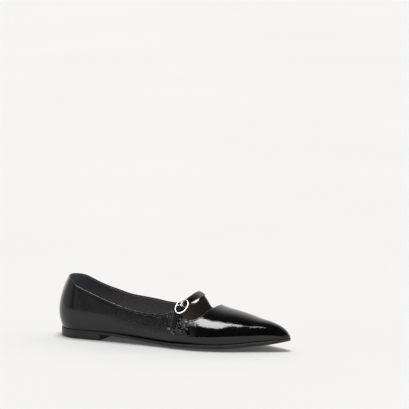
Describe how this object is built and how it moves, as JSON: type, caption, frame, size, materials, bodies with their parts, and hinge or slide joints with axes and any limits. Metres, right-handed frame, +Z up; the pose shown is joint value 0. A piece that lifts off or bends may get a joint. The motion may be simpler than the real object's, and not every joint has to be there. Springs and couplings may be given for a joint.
{
  "type": "pointed toe flat shoe",
  "caption": "Black patent pointed toe flat for the right foot, with a thin strap over the instep fastened by a small oval buckle.",
  "frame": {"origin": "on the floor under the middle of the heel", "axes": "+X towards the toe, +Y towards the inner side of the foot, +Z up"},
  "size_m": [0.2631, 0.0768, 0.064],
  "materials": {
    "patent_leather": "glossy patent",
    "sole_rubber": "satin",
    "lining_leather": "matte",
    "buckle_metal": "polished"
  },
  "bodies": {
    "root": {"upper": "patent_leather", "strap": "patent_leather", "outsole": "sole_rubber", "heel": "sole_rubber", "insole": "lining_leather", "buckle_frame": "buckle_metal", "buckle_bar": "buckle_metal", "buckle_prong": "buckle_metal", "eyelet": "buckle_metal"}
  },
  "joints": []
}
